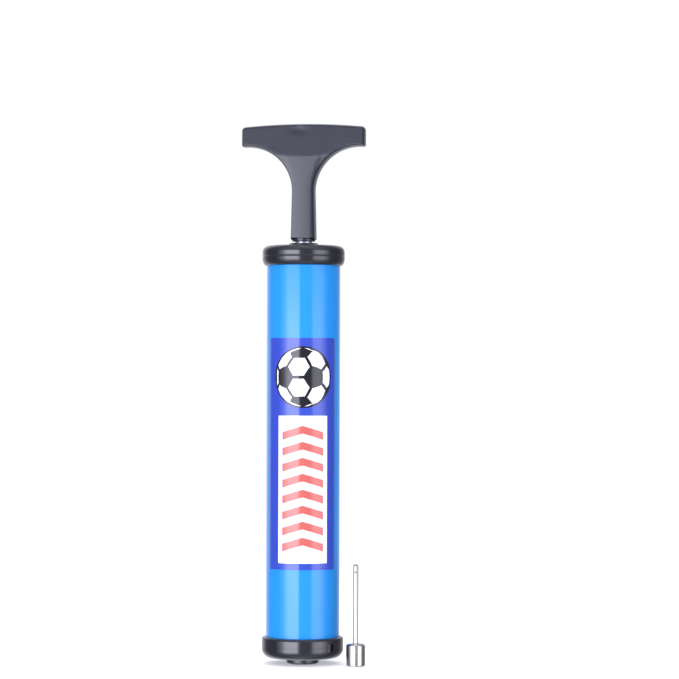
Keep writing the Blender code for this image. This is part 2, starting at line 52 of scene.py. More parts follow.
# Light against the angle, in degrees, from the front towards +X or up from the horizon
LEFT_BOX = [(-80, 0.0), (-62, 1.8), (-48, 7.2), (-15, 7.7), (-10, 0.0)]
RIGHT_BOX = [(24, 0.0), (32, 3.5), (52, 4.0), (80, 0.0)]
BOX_HEIGHT = [(-40, 0.0), (-25, 0.55), (-8, 1.0), (7, 1.0), (15, 0.12), (40, 0.0)]
ROOM_LIGHT = [(-180, 1.2), (-150, 1.4), (-120, 0.4), (-85, 0.5), (-60, 0.85), (60, 0.85), (85, 0.55)]
ROOM_LIGHT += [(105, 0.35), (125, 0.35), (150, 0.8), (180, 1.2)]
ROOM_HEIGHT = [(-90, 1.6), (-12, 1.0), (12, 1.0), (40, 1.5), (90, 2.6)]

# The grip, in millimetres; heights are over the stem's end
STEM_HALF = 4.75
STEM_END_HALF = 5.2
NECK_R = 18.3
BAR_HALF = 25.55
BAR_LOW = 38.2
BAR_TOP = 47.7
BAR_CROWN = 1.1
STEM_CORNER = 0.5
BAR_LOW_CORNER = 0.9
BAR_TOP_CORNER = 1.75
CREASE = 34.1  # where the stem's front meets the bar's
HALF_DEPTH = 4.85
BAR_LEAN = 1.5  # how far the bar's front leans back at its top
RIM_R = 0.9
GRIP_TURN = math.radians(-8.0)

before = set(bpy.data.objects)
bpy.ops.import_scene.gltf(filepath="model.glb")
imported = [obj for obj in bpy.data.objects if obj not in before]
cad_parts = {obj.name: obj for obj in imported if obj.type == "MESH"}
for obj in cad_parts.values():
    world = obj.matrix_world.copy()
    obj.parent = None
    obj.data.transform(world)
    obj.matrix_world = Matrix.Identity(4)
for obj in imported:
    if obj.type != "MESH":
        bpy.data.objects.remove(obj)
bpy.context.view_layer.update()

# ---------------------------------------------------------------- helpers


def linear(hex_code):
    """A colour socket's value from an sRGB hex code."""
    values = []
    for i in (0, 2, 4):
        c = int(hex_code[i : i + 2], 16) / 255
        values.append(c / 12.92 if c <= 0.04045 else ((c + 0.055) / 1.055) ** 2.4)
    return (*values, 1.0)


def add(tree, kind, inputs=None, **settings):
    """Adds a node, applies its settings, and fills each named input with a value or a link."""
    made = tree.nodes.new(kind)
    for name, value in settings.items():
        setattr(made, name, value)
    for name, value in (inputs or {}).items():
        if isinstance(value, bpy.types.NodeSocket):
            tree.links.new(value, made.inputs[name])
        else:
            made.inputs[name].default_value = value
    return made


def start_material(name, **sockets):
    """A new material: its tree, its Principled shader with these values set, and object coordinates."""
    m = bpy.data.materials.new(name)
    m.use_nodes = True
    shader = m.node_tree.nodes["Principled BSDF"]
    for key, value in sockets.items():
        shader.inputs[key.replace("_", " ")].default_value = value
    at = add(m.node_tree, "ShaderNodeTexCoord").outputs["Object"]
    return m, m.node_tree, shader, at


def arc(cx, cz, r, start, end, steps):
    """Points along an arc, from one angle to the other in degrees."""
    points = []
    for i in range(steps + 1):
        a = math.radians(start + (end - start) * i / steps)
        points.append((cx + r * math.cos(a), cz + r * math.sin(a)))
    return points


def to_object(name, bm, mat):
    """Makes the piece in metres from a bmesh drawn in millimetres."""
    bmesh.ops.recalc_face_normals(bm, faces=bm.faces)
    bmesh.ops.scale(bm, vec=(MM, MM, MM), verts=bm.verts)
    mesh = bpy.data.meshes.new(name)
    bm.to_mesh(mesh)
    bm.free()
    mesh.shade_smooth()
    mesh.set_sharp_from_angle(angle=SHARP_EDGE)
    for m in mat if isinstance(mat, list) else [mat]:
        mesh.materials.append(m)
    ob = bpy.data.objects.new(name, mesh)
    bpy.context.scene.collection.objects.link(ob)
    return ob


def turned(name, profile, mat, sides=160, at=(0.0, 0.0)):
    """Turns a closed outline of (radius, height) points about the vertical through at."""
    bm = bmesh.new()
    rings = []
    for radius, height in profile:
        if radius < 1e-6:
            rings.append([bm.verts.new((at[0], at[1], height))])
            continue
        ring = []
        for k in range(sides):
            a = 2 * math.pi * k / sides
            ring.append(bm.verts.new((at[0] + radius * math.cos(a), at[1] + radius * math.sin(a), height)))
        rings.append(ring)
    for low, high in zip(rings, rings[1:] + rings[:1]):
        if len(low) == 1 and len(high) == 1:
            continue
        for k in range(sides):
            corners = [low[k % len(low)], low[(k + 1) % len(low)]]
            corners += [high[(k + 1) % len(high)], high[k % len(high)]]
            bm.faces.new(list(dict.fromkeys(corners)))
    return to_object(name, bm, mat)


def rounded(points, radii, steps=5):
    """A closed outline with each corner rounded to its own radius; 0 leaves it sharp."""
    out = []
    n = len(points)
    for i, r in enumerate(radii):
        here = Vector(points[i])
        before = Vector(points[i - 1]) - here
        after = Vector(points[(i + 1) % n]) - here
        if r <= 0:
            out.append(tuple(here))
            continue
        u, v = before.normalized(), after.normalized()
        half = math.acos(max(-1.0, min(1.0, u.dot(v)))) / 2
        reach = min(r / math.tan(half), before.length * 0.49, after.length * 0.49)
        radius = reach * math.tan(half)
        middle = here + (u + v).normalized() * (radius / math.sin(half))
        a = here + u * reach - middle
        b = here + v * reach - middle
        turn = math.atan2(a.x * b.y - a.y * b.x, a.dot(b))
        for k in range(steps + 1):
            t = turn * k / steps
            x = a.x * math.cos(t) - a.y * math.sin(t)
            z = a.x * math.sin(t) + a.y * math.cos(t)
            out.append((middle.x + x, middle.y + z))
    return out


def inside(points, outline):
    """Which of the points lie inside a closed outline; both are arrays of (x, z) rows."""
    found = np.zeros(len(points), bool)
    for a, b in zip(outline, np.roll(outline, -1, axis=0)):
        spans = (a[1] > points[:, 1]) != (b[1] > points[:, 1])
        where = a[0] + (points[:, 1] - a[1]) / (b[1] - a[1] + 1e-12) * (b[0] - a[0])
        found ^= spans & (points[:, 0] < where)
    return found


def apply_modifiers(ob):
    """Swaps the piece's mesh for what its modifiers make of it."""
    bpy.context.view_layer.update()
    deps = bpy.context.evaluated_depsgraph_get()
    mesh = bpy.data.meshes.new_from_object(ob.evaluated_get(deps))
    ob.modifiers.clear()
    old = ob.data
    ob.data = mesh
    bpy.data.meshes.remove(old)


def cut_out(ob, tool):
    """Cuts the tool's shape out of the piece, and removes the tool."""
    cut = ob.modifiers.new("cut", "BOOLEAN")
    cut.operation = "DIFFERENCE"
    cut.solver = "EXACT"
    cut.object = tool
    apply_modifiers(ob)
    bpy.data.objects.remove(tool)


def place(ob, body, node):
    """Lets the piece ride on its body and stand for its CAD node."""
    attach(ob, body)
    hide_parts(node)
    return ob


def mm_box(node):
    """The low and high corners of a CAD node's box, in millimetres."""
    low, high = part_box(node)
    return low / MM, high / MM


# ---------------------------------------------------------------- materials


def blue_abs():
    """Extruded ABS, high gloss: clean mirror-like bands with a faint ripple from the die."""
    m, tree, shader, at = start_material("abs_extruded_blue", Roughness=0.12, IOR=1.46)
    patch = add(tree, "ShaderNodeTexNoise", {"Vector": at, "Scale": 1 / (14 * MM), "Detail": 3.0})
    tint = add(
        tree,
        "ShaderNodeMix",
        {"Factor": patch.outputs["Fac"], "A": linear("1C8BDA"), "B": linear("1987D5")},
        data_type="RGBA",
    )
    tree.links.new(tint.outputs["Result"], shader.inputs["Base Color"])
    # Draw lines run along the tube: 0.5 mm apart round it, 70 mm long.
    stretch = add(tree, "ShaderNodeMapping", {"Vector": at, "Scale": (1.0, 1.0, 0.5 / 70)})
    lines = add(tree, "ShaderNodeTexNoise", {"Vector": stretch.outputs["Vector"], "Scale": 1 / (0.5 * MM)})
    peel = add(tree, "ShaderNodeTexNoise", {"Vector": at, "Scale": 1 / (3.5 * MM), "Detail": 1.0})
    height = add(
        tree,
        "ShaderNodeMath",
        {0: lines.outputs["Fac"], 1: 0.35, 2: peel.outputs["Fac"]},
        operation="MULTIPLY_ADD",
    )
    bump = add(
        tree,
        "ShaderNodeBump",
        {"Height": height.outputs["Value"], "Strength": 0.25, "Distance": 0.012 * MM},
    )
    tree.links.new(bump.outputs["Normal"], shader.inputs["Normal"])
    return m


def black_abs():
    """Moulded ABS, black and polished: dark with sharp lights, uneven from a slight orange peel."""
    m, tree, shader, at = start_material("abs_moulded_black", Roughness=0.16, IOR=1.6)
    patch = add(tree, "ShaderNodeTexNoise", {"Vector": at, "Scale": 1 / (5 * MM), "Detail": 4.0})
    tint = add(
        tree,
        "ShaderNodeMix",
        {"Factor": patch.outputs["Fac"], "A": linear("0E0E18"), "B": linear("141420")},
        data_type="RGBA",
    )
    tree.links.new(tint.outputs["Result"], shader.inputs["Base Color"])
    peel = add(tree, "ShaderNodeTexNoise", {"Vector": at, "Scale": 1 / (1.1 * MM), "Detail": 2.0})
    bump = add(
        tree,
        "ShaderNodeBump",
        {"Height": peel.outputs["Fac"], "Strength": 0.5, "Distance": 0.02 * MM},
    )
    tree.links.new(bump.outputs["Normal"], shader.inputs["Normal"])
    return m


def black_nylon():
    """Moulded nylon, black: satin, with a soft broken light along its edges."""
    m, tree, shader, at = start_material("nylon_moulded_black", IOR=1.53)
    patch = add(tree, "ShaderNodeTexNoise", {"Vector": at, "Scale": 1 / (2 * MM), "Detail": 4.0})
    tint = add(
        tree,
        "ShaderNodeMix",
        {"Factor": patch.outputs["Fac"], "A": linear("131318"), "B": linear("202026")},
        data_type="RGBA",
    )
    tree.links.new(tint.outputs["Result"], shader.inputs["Base Color"])
    gloss = add(tree, "ShaderNodeMapRange", {"Value": patch.outputs["Fac"], "To Min": 0.22, "To Max": 0.38})
    tree.links.new(gloss.outputs["Result"], shader.inputs["Roughness"])
    bump = add(
        tree,
        "ShaderNodeBump",
        {"Height": patch.outputs["Fac"], "Strength": 0.4, "Distance": 0.03 * MM},
    )
    tree.links.new(bump.outputs["Normal"], shader.inputs["Normal"])
    return m


def charcoal_polypropylene():
    """Moulded polypropylene, charcoal: spark-eroded grain that spreads the light, its tone and gloss uneven
    in broad random patches.
    """
    m, tree, shader, at = start_material("polypropylene_moulded_charcoal", IOR=1.49)
    cloud = add(tree, "ShaderNodeTexNoise", {"Vector": at, "Scale": 1 / (9 * MM), "Detail": 5.0})
    tint = add(
        tree,
        "ShaderNodeMix",
        {"Factor": cloud.outputs["Fac"], "A": linear("191B28"), "B": linear("20222F")},
        data_type="RGBA",
    )
    tree.links.new(tint.outputs["Result"], shader.inputs["Base Color"])
    gloss = add(tree, "ShaderNodeMapRange", {"Value": cloud.outputs["Fac"], "To Min": 0.22, "To Max": 0.3})
    tree.links.new(gloss.outputs["Result"], shader.inputs["Roughness"])
    # The real grain is about 0.1 mm; it is drawn at 0.35 mm so that it shows.
    grain = add(tree, "ShaderNodeTexNoise", {"Vector": at, "Scale": 1 / (0.35 * MM), "Detail": 2.0})
    bump = add(
        tree,
        "ShaderNodeBump",
        {"Height": grain.outputs["Fac"], "Strength": 0.35, "Distance": 0.05 * MM},
    )
    tree.links.new(bump.outputs["Normal"], shader.inputs["Normal"])
    return m


def printed_film(name, dark, light):
    """Gloss-printed film: ink with a fine mottle under a smooth clear surface."""
    m, tree, shader, at = start_material(name, Roughness=0.12, IOR=1.5)
    mottle = add(tree, "ShaderNodeTexNoise", {"Vector": at, "Scale": 1 / (0.6 * MM), "Detail": 3.0})
    tint = add(
        tree,
        "ShaderNodeMix",
        {"Factor": mottle.outputs["Fac"], "A": linear(dark), "B": linear(light)},
        data_type="RGBA",
    )
    tree.links.new(tint.outputs["Result"], shader.inputs["Base Color"])
    wave = add(tree, "ShaderNodeTexNoise", {"Vector": at, "Scale": 1 / (6 * MM)})
    bump = add(
        tree,
        "ShaderNodeBump",
        {"Height": wave.outputs["Fac"], "Strength": 0.2, "Distance": 0.02 * MM},
    )
    tree.links.new(bump.outputs["Normal"], shader.inputs["Normal"])
    return m


def metal(name, dark, light, low_gloss, high_gloss, pitch_mm, depth_mm):
    """A bare or plated metal, stained a little in patches, with tool lines round it this far apart."""
    m, tree, shader, at = start_material(name, Metallic=1.0)
    patch = add(tree, "ShaderNodeTexNoise", {"Vector": at, "Scale": 1 / (3 * MM), "Detail": 4.0})
    tint = add(
        tree,
        "ShaderNodeMix",
        {"Factor": patch.outputs["Fac"], "A": linear(dark), "B": linear(light)},
        data_type="RGBA",
    )
    tree.links.new(tint.outputs["Result"], shader.inputs["Base Color"])
    gloss = add(
        tree,
        "ShaderNodeMapRange",
        {"Value": patch.outputs["Fac"], "To Min": low_gloss, "To Max": high_gloss},
    )
    tree.links.new(gloss.outputs["Result"], shader.inputs["Roughness"])
    # Real tool lines are about 0.25 mm apart; these are drawn coarser so that they show.
    # The wave turns through 20 radians in a unit of its scale.
    rings = add(
        tree,
        "ShaderNodeTexWave",
        {"Vector": at, "Scale": math.tau / (20 * pitch_mm * MM), "Distortion": 0.6, "Detail": 2.0},
        bands_direction="Z",
    )
    bump = add(
        tree,
        "ShaderNodeBump",
        {"Height": rings.outputs["Fac"], "Strength": 0.3, "Distance": depth_mm * MM},
    )
    tree.links.new(bump.outputs["Normal"], shader.inputs["Normal"])
    return m


def black_rubber():
    """Moulded nitrile rubber: dull black with a dusty bloom."""
    m, tree, shader, at = start_material("nitrile_rubber_black", IOR=1.52)
    bloom = add(tree, "ShaderNodeTexNoise", {"Vector": at, "Scale": 1 / (1.5 * MM), "Detail": 5.0})
    tint = add(
        tree,
        "ShaderNodeMix",
        {"Factor": bloom.outputs["Fac"], "A": linear("17171A"), "B": linear("2A2A2D")},
        data_type="RGBA",
    )
    tree.links.new(tint.outputs["Result"], shader.inputs["Base Color"])
    gloss = add(tree, "ShaderNodeMapRange", {"Value": bloom.outputs["Fac"], "To Min": 0.55, "To Max": 0.8})
    tree.links.new(gloss.outputs["Result"], shader.inputs["Roughness"])
    bump = add(
        tree,
        "ShaderNodeBump",
        {"Height": bloom.outputs["Fac"], "Strength": 0.4, "Distance": 0.03 * MM},
    )
    tree.links.new(bump.outputs["Normal"], shader.inputs["Normal"])
    return m


def white_acetal():
    """Moulded acetal, natural white: milky, waxy, faintly see-through."""
    m, tree, shader, at = start_material("acetal_moulded_white", IOR=1.48, Subsurface_Weight=0.15)
    shader.inputs["Subsurface Radius"].default_value = (0.8 * MM, 0.7 * MM, 0.6 * MM)
    shader.inputs["Subsurface Scale"].default_value = 1.0
    cloud = add(tree, "ShaderNodeTexNoise", {"Vector": at, "Scale": 1 / (4 * MM), "Detail": 3.0})
    tint = add(
        tree,
        "ShaderNodeMix",
        {"Factor": cloud.outputs["Fac"], "A": linear("E4E2DA"), "B": linear("EFEEE8")},
        data_type="RGBA",
    )
    tree.links.new(tint.outputs["Result"], shader.inputs["Base Color"])
    gloss = add(tree, "ShaderNodeMapRange", {"Value": cloud.outputs["Fac"], "To Min": 0.3, "To Max": 0.42})
    tree.links.new(gloss.outputs["Result"], shader.inputs["Roughness"])
    return m


# ---------------------------------------------------------------- barrel and caps


def make_barrel(mats):
    """A plain tube with its end edges broken."""
    low, high = mm_box("barrel_tube")
    outer = high.x
    inner = outer - BARREL_WALL
    points = [(inner, low.z), (outer, low.z), (outer, high.z), (inner, high.z)]
    ob = turned("barrel", rounded(points, [0.3] * 4, 4), mats["blue"], 256)
    return place(ob, "barrel", "barrel_tube")


def make_top_cap(mats):
    """A turned cap with a soft shoulder, a fine parting groove and a lip drawn in to the barrel."""
    low, high = mm_box("top_cap")
    outer = high.x
    bore = mm_box("barrel_tube")[1].x + CAP_GAP
    hole = 5.6
    plate = 2.7
    groove = high.z - 4.2
    shoulder = 2.6
    points = [(hole, high.z - plate), (bore, high.z - plate), (bore, low.z), (outer - 1.45, low.z)]
    points += [(outer - 0.75, low.z + 0.5), (outer - 0.2, low.z + 1.7), (outer, low.z + 2.8)]
    points += [(outer, groove - 0.25), (outer - 0.12, groove), (outer - 0.03, groove + 0.25)]
    points += arc(outer - 0.03 - shoulder, high.z - shoulder, shoulder, 0, 90, 16)
    points += [(hole + 0.3, high.z), (hole, high.z - 0.3)]
    ob = turned("top_end_cap", points, mats["black"], 256)
    return place(ob, "barrel", "top_cap")


def make_guide(mats):
    """The collar that guides the rod, with a full round rim."""
    low, high = mm_box("rod_guide_bush")
    cap_top = mm_box("top_cap")[1].z
    rod = mm_box("piston_rod")[1].x
    bore = rod + ROD_GAP
    shank = bore + 1.55
    flange = cap_top + 0.02
    points = [(bore, low.z), (shank, low.z), (shank, flange)]
    points += [(high.x, flange), (high.x, high.z), (bore, high.z)]
    radii = [0.2, 0.2, 0.0, 0.4, 0.6, 0.3]
    ob = turned("rod_guide_collar", rounded(points, radii, 8), mats["black"], 160)
    return place(ob, "barrel", "rod_guide_bush")


def make_bottom_cap(mats):
    """A turned cap with a nearly flat foot, a broad lower round and a fine line below its lip."""
    low, high = mm_box("bottom_cap")
    outer = high.x
    bore = mm_box("barrel_tube")[1].x + CAP_GAP
    hole = 6.75
    floor = 2.5
    band = low.z + 3.9
    reach, drop = 3.9, 3.85  # of the lower round, inwards and down
    points = [(bore, high.z), (bore, low.z + floor), (hole, low.z + floor), (hole, low.z + 0.05)]
    points += [(hole + 0.2, low.z), (hole + 3.5, low.z + 0.02), (hole + 5.5, low.z + 0.08)]
    for x, z in arc(0.0, 0.0, 1.0, -78, 0, 16)[1:]:
        points.append((outer - reach + reach * x, band + drop * z))
    points += [(outer, band + 0.35), (outer - 0.06, band + 0.6), (outer - 0.06, band + 0.75)]
    points += [(outer - 0.02, band + 1.0), (outer - 0.02, high.z - 1.0), (outer - 0.12, high.z - 0.5)]
    points += [(outer - 0.36, high.z - 0.15), (outer - 0.7, high.z)]
    ob = turned("bottom_end_cap", points, mats["black"], 256)
    return place(ob, "barrel", "bottom_cap")


def make_nozzle(mats):
    """The nozzle insert; its socket's screw thread, 32 turns to the inch, is drawn as turned ridges."""
    low, high = mm_box("nozzle_insert")
    outer = 6.7
    socket = 3.97
    edge = 0.5
    flange_low = mm_box("bottom_cap")[0].z + 2.5
    flange_r = high.x
    pitch = 25.4 / 32
    turns = 10
    thread_end = 9.6
    shelf_low, shelf_top, shelf_bore = 10.9, 12.1, 1.1
    chamber = 3.3
    seat = mm_box("valve_seat")
    seat_r = seat[1].x + REST_GAP
    seat_low = seat[0].z - REST_GAP
    points = [(socket + edge, low.z)]
    for k in range(turns):
        z = low.z + edge + k * pitch
        points += [(socket, z), (socket + 0.3, z + pitch / 2)]
    points += [(socket, thread_end), (socket, shelf_low)]
    points += [(shelf_bore, shelf_low), (shelf_bore, shelf_top)]
    points += [(chamber, shelf_top), (chamber, seat_low), (seat_r, seat_low), (seat_r, high.z)]
    points += [(outer, high.z), (outer, flange_low + 2.5), (flange_r, flange_low + 2.5)]
    points += [(flange_r, flange_low + REST_GAP), (outer, flange_low + REST_GAP)]
    points += [(outer, low.z + edge), (outer - edge, low.z)]
    points.reverse()
    ob = turned("nozzle", points, mats["nylon"], 128)
    return place(ob, "barrel", "nozzle_insert")


def make_spring(mats):
    """The valve's coil spring, drawn as a fixed coil; the real one closes up as the ball is pushed down on
    it.
    """
    low, high = mm_box("valve_spring")
    wire = 0.25
    turns, steps, sides = 5, 40, 14
    coil = high.x - wire
    bm = bmesh.new()
    rings = []
    for i in range(turns * steps + 1):
        a = 2 * math.pi * i / steps
        out = Vector((math.cos(a), math.sin(a), 0.0))
        height = low.z + wire + (high.z - low.z - 2 * wire) * i / (turns * steps)
        ring = []
        for k in range(sides):
            b = 2 * math.pi * k / sides
            point = out * (coil + wire * math.cos(b))
            ring.append(bm.verts.new((point.x, point.y, height + wire * math.sin(b))))
        rings.append(ring)
    for a, b in zip(rings, rings[1:]):
        for k in range(sides):
            bm.faces.new((a[k], a[(k + 1) % sides], b[(k + 1) % sides], b[k]))
    bm.faces.new(rings[0])
    bm.faces.new(rings[-1])
    ob = to_object("outlet_valve_spring", bm, mats["steel"])
    place(ob, "barrel", "valve_spring")
    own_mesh(ob)
    return ob


# ---------------------------------------------------------------- label


def ball_patches():
    """The white hexagons of a football, flat, as seen along the middle of one of its seams, radius 1."""
    golden = (1 + 5**0.5) / 2
    corners = []
    for a in (-1, 1):
        for b in (-golden, golden):
            corners += [Vector((0, a, b)), Vector((a, b, 0)), Vector((b, 0, a))]
    near = [(i, j) for i in range(12) for j in range(12) if i != j and (corners[i] - corners[j]).length < 2.1]
    linked = {i: [j for a, j in near if a == i] for i in range(12)}
    lean = math.radians(-8.8)
    turn = Matrix.Rotation(lean, 3, "Y") @ Matrix.Rotation(math.radians(90), 3, "Z")
    patches = []
    for i in range(12):
        for j in linked[i]:
            for k in linked[j]:
                if not (i < j < k and k in linked[i]):
                    continue
                tri = [corners[i], corners[j], corners[k]]
                ring = []
                for a, b in ((0, 1), (1, 2), (2, 0)):
                    ring += [tri[a].lerp(tri[b], 1 / 3), tri[a].lerp(tri[b], 2 / 3)]
                patches.append(seam_inset([turn @ p.normalized() for p in ring]))
    return [p for p in patches if p]


def seam_inset(ring, gap=0.055, steps=5):
    """One patch drawn in from its seams, its edges bowed by the ball, cut off at the rim it turns behind."""
    middle = sum(ring, Vector()).normalized()
    out = []
    for a, b in zip(ring, ring[1:] + ring[:1]):
        for k in range(steps):
            p = a.lerp(b, k / steps).normalized()
            out.append((p + (middle - p).normalized() * gap).normalized())
    rim = 1 - gap
    seen = []
    for a, b in zip(out, out[1:] + out[:1]):
        if a.z > 0:
            seen.append(a)
        if (a.z > 0) != (b.z > 0):
            seen.append(a.lerp(b, a.z / (a.z - b.z)).normalized())
    flat = []
    for p in seen:
        q = Vector((p.x, p.y))
        flat.append(q if q.length < rim else q.normalized() * rim)
    area = sum(a.x * b.y - a.y * b.x for a, b in zip(flat, flat[1:] + flat[:1])) / 2
    if area < 0:
        flat.reverse()
    least = 0.004  # a smaller sliver is left out
    return flat if abs(area) > least else None


def chevron(middle, base, half_width, rise, thickness):
    """A chevron that points up, round its middle line."""
    return [
        Vector((middle - half_width, base)),
        Vector((middle, base + rise)),
        Vector((middle + half_width, base)),
        Vector((middle + half_width, base + thickness)),
        Vector((middle, base + rise + thickness)),
        Vector((middle - half_width, base + thickness)),
    ]


def make_label(mats):
    """The printed film as one curved sheet: ground, ball, white panel and a ladder of chevrons."""
    low, high = mm_box("barrel_label")
    radius = mm_box("barrel_tube")[1].x
    turn = math.radians(-2.7)  # the film's middle, round from the front
    width = math.radians(60.2) * radius  # half of the film, flat
    tall = high.z - low.z
    middle = 0.57  # the print's middle, from the film's
    half_panel, panel_low, panel_top = 10.6, 2.65, 62.4
    ball_r, ball_up = 12.5, 78.0
    regions = []  # (outline in millimetres on the flat film, material index)
    ground = rounded([(-width, 0), (width, 0), (width, tall), (-width, tall)], [0.7] * 4, 4)
    regions.append(([Vector(p) for p in ground], 0))
    left, right = middle - half_panel, middle + half_panel
    panel = [(left, panel_low), (right, panel_low), (right, panel_top), (left, panel_top)]
    regions.append(([Vector(p) for p in rounded(panel, [0.2] * 4, 3)], 1))
    for k in range(8):
        base = 7.4 + k * 6.45
        regions.append((chevron(middle, base, half_width=8.65, rise=2.6, thickness=3.2), 2))
    centre = Vector((middle, ball_up))
    disc = [centre + Vector(p) * ball_r for p in arc(0, 0, 1.0, 0, 360 - 360 / 96, 95)]
    regions.append((disc, 3))
    for patch in ball_patches():
        regions.append(([centre + p * ball_r for p in patch], 4))
    points, faces, edges = [], [], []
    for outline, _ in regions:
        faces.append(list(range(len(points), len(points) + len(outline))))
        points += outline
    columns = 32
    for k in range(1, columns):
        x = -width + 2 * width * k / columns
        edges.append((len(points), len(points) + 1))
        points += [Vector((x, 0.01)), Vector((x, tall - 0.01))]
    verts, _, tris, *_ = geometry.delaunay_2d_cdt(points, edges, faces, 1, 1e-4, False)
    spots = np.array([(v.x, v.y) for v in verts])
    middles = np.array([spots[list(tri)].mean(0) for tri in tris])
    ink = np.full(len(tris), -1)
    for outline, number in regions:
        ink[inside(middles, np.array([tuple(p) for p in outline]))] = number
    bm = bmesh.new()
    outer = radius + LABEL_GAP + LABEL_FILM
    made = []
    for p in verts:
        a = p.x / radius + turn
        made.append(bm.verts.new((outer * math.sin(a), -outer * math.cos(a), low.z + p.y)))
    for tri, number in zip(tris, ink):
        if number < 0:
            continue
        face = bm.faces.new([made[i] for i in tri])
        face.material_index = int(number)
    for v in [v for v in bm.verts if not v.link_faces]:
        bm.verts.remove(v)
    inks = ["film_violet", "film_white", "film_coral", "film_black", "film_white"]
    ob = to_object("label_film", bm, [mats[name] for name in inks])
    solid = ob.modifiers.new("thickness", "SOLIDIFY")
    solid.thickness = LABEL_FILM * MM
    solid.offset = -1.0
    apply_modifiers(ob)
    return place(ob, "barrel", "barrel_label")


# ---------------------------------------------------------------- handle and rod


def grip_outline():
    """Half of the T's front outline, from the middle of the stem's end to the middle of the bar's top."""
    points = [(0.0, 0.0), (STEM_END_HALF - STEM_CORNER, 0.0)]
    points += arc(STEM_END_HALF - STEM_CORNER, STEM_CORNER, STEM_CORNER, -80, 0, 5)
    points += arc(STEM_HALF + NECK_R, BAR_LOW - NECK_R, NECK_R, 180, 90, 44)
    points += arc(BAR_HALF - BAR_LOW_CORNER, BAR_LOW + BAR_LOW_CORNER, BAR_LOW_CORNER, -90, 0, 6)
    points += arc(BAR_HALF - BAR_TOP_CORNER, BAR_TOP - BAR_CROWN - BAR_TOP_CORNER, BAR_TOP_CORNER, 4, 82, 9)
    last = points[-1]
    for k in range(1, 25):
        x = last[0] * (1 - k / 24)
        points.append((x, BAR_TOP - (BAR_TOP - last[1]) * (x / last[0]) ** 2))
    return points


def soft(value):
    """0 up to 1 with a smooth start and end, for a value that goes from 0 to 1."""
    value = max(0.0, min(1.0, value))
    return value * value * (3 - 2 * value)


def grip_depth(x, z, edge):
    """Half the grip's depth at a point of its front: how high over the stem's end, how far from the edge."""
    rise = min(max(z - (BAR_LOW - NECK_R), 0.0), NECK_R)
    half = STEM_HALF + NECK_R - math.sqrt(NECK_R**2 - rise**2)
    facet = 4.1 + 0.5 * (half - STEM_HALF)  # where the tongue ends, from the middle
    crown, step = 0.13, 0.08
    depth = HALF_DEPTH - BAR_LEAN * max(z - CREASE, 0.0) / (BAR_TOP - CREASE)
    # Below the crease the front is a slightly crowned tongue that stands out from the flare on both sides.
    below = soft((CREASE - z) / 2 + 0.5)
    depth -= below * (crown * (min(abs(x), half) / half) ** 2 + step * soft((abs(x) - facet) / 1.8 + 0.5))
    if z < 1.0:
        depth -= 0.2 * (1 - z) ** 2
    rim = min(edge / RIM_R, 1.0)
    return depth * math.sqrt(1 - (1 - rim) ** 2)


def grip_mesh(low_z):
    """The T, facing forward: two faces that meet round its outline, raised by the grip's depth."""
    right = grip_outline()
    corners = right + [(-x, z) for x, z in reversed(right) if x > 1e-6]
    outline = []
    for (x0, z0), (x1, z1) in zip(corners, corners[1:] + corners[:1]):
        parts = math.ceil(math.hypot(x1 - x0, z1 - z0) / 0.4)
        outline += [(x0 + (x1 - x0) * k / parts, z0 + (z1 - z0) * k / parts) for k in range(parts)]
    at = np.array(outline)
    after = np.roll(at, -1, axis=0)

    def to_edge(p):
        """How far each point is from the outline."""
        step = after - at
        share = ((p[:, None] - at[None]) * step[None]).sum(2) / (step**2).sum(1)[None]
        near = at[None] + np.clip(share, 0, 1)[..., None] * step[None]
        return np.sqrt(((p[:, None] - near) ** 2).sum(2)).min(1)

    loose = []  # rows just inside the outline, close together where the edge rounds over
    for d in (0.03, 0.1, 0.2, 0.35, 0.55, 0.8):
        for before, here, ahead in zip(outline[-1:] + outline[:-1], outline, outline[1:] + outline[:1]):
            out = Vector((ahead[1] - before[1], before[0] - ahead[0])).normalized()
            loose.append((here[0] - out.x * d, here[1] - out.y * d, d))
    rings = np.array(loose)
    kept = inside(rings[:, :2], at) & (to_edge(rings[:, :2]) > rings[:, 2] * 0.93)
    rings = rings[kept][:, :2]
    pitch = 0.4
    columns = np.arange(-BAR_HALF, BAR_HALF, pitch)
    grid = np.array([(x, z) for z in np.arange(CREASE % pitch, BAR_TOP, pitch) for x in columns])
    grid = grid[inside(grid, at)]
    grid = grid[to_edge(grid) > 1.0]
    flat = [Vector(p) for p in np.vstack([at, rings, grid])]
    verts, _, tris, *_ = geometry.delaunay_2d_cdt(flat, [], [list(range(len(at)))], 1, 1e-5, True)
    spots = np.array([(v.x, v.y) for v in verts])
    edge = to_edge(spots)
    rim = edge < 1e-3
    bm = bmesh.new()
    sides = []
    for way in (-1, 1):  # the front, then the back
        made = []
        for i, (x, z) in enumerate(spots):
            if way == 1 and rim[i]:
                made.append(sides[0][i])
                continue
            y = way * (0.0 if rim[i] else grip_depth(x, z, edge[i]))
            if way == -1:
                # A shallow sink mark near the top of the bar's front
                y += 0.14 * math.exp(-((x + 1.3) ** 2) / 10 - (z - BAR_TOP + 2.7) ** 2 / 2.4)
            made.append(bm.verts.new((x, y, z + low_z)))
        sides.append(made)
        for tri in tris:
            if all(rim[k] for k in tri):
                continue
            corners = [made[k] for k in tri]
            bm.faces.new(corners if way == -1 else corners[::-1])
    return bm


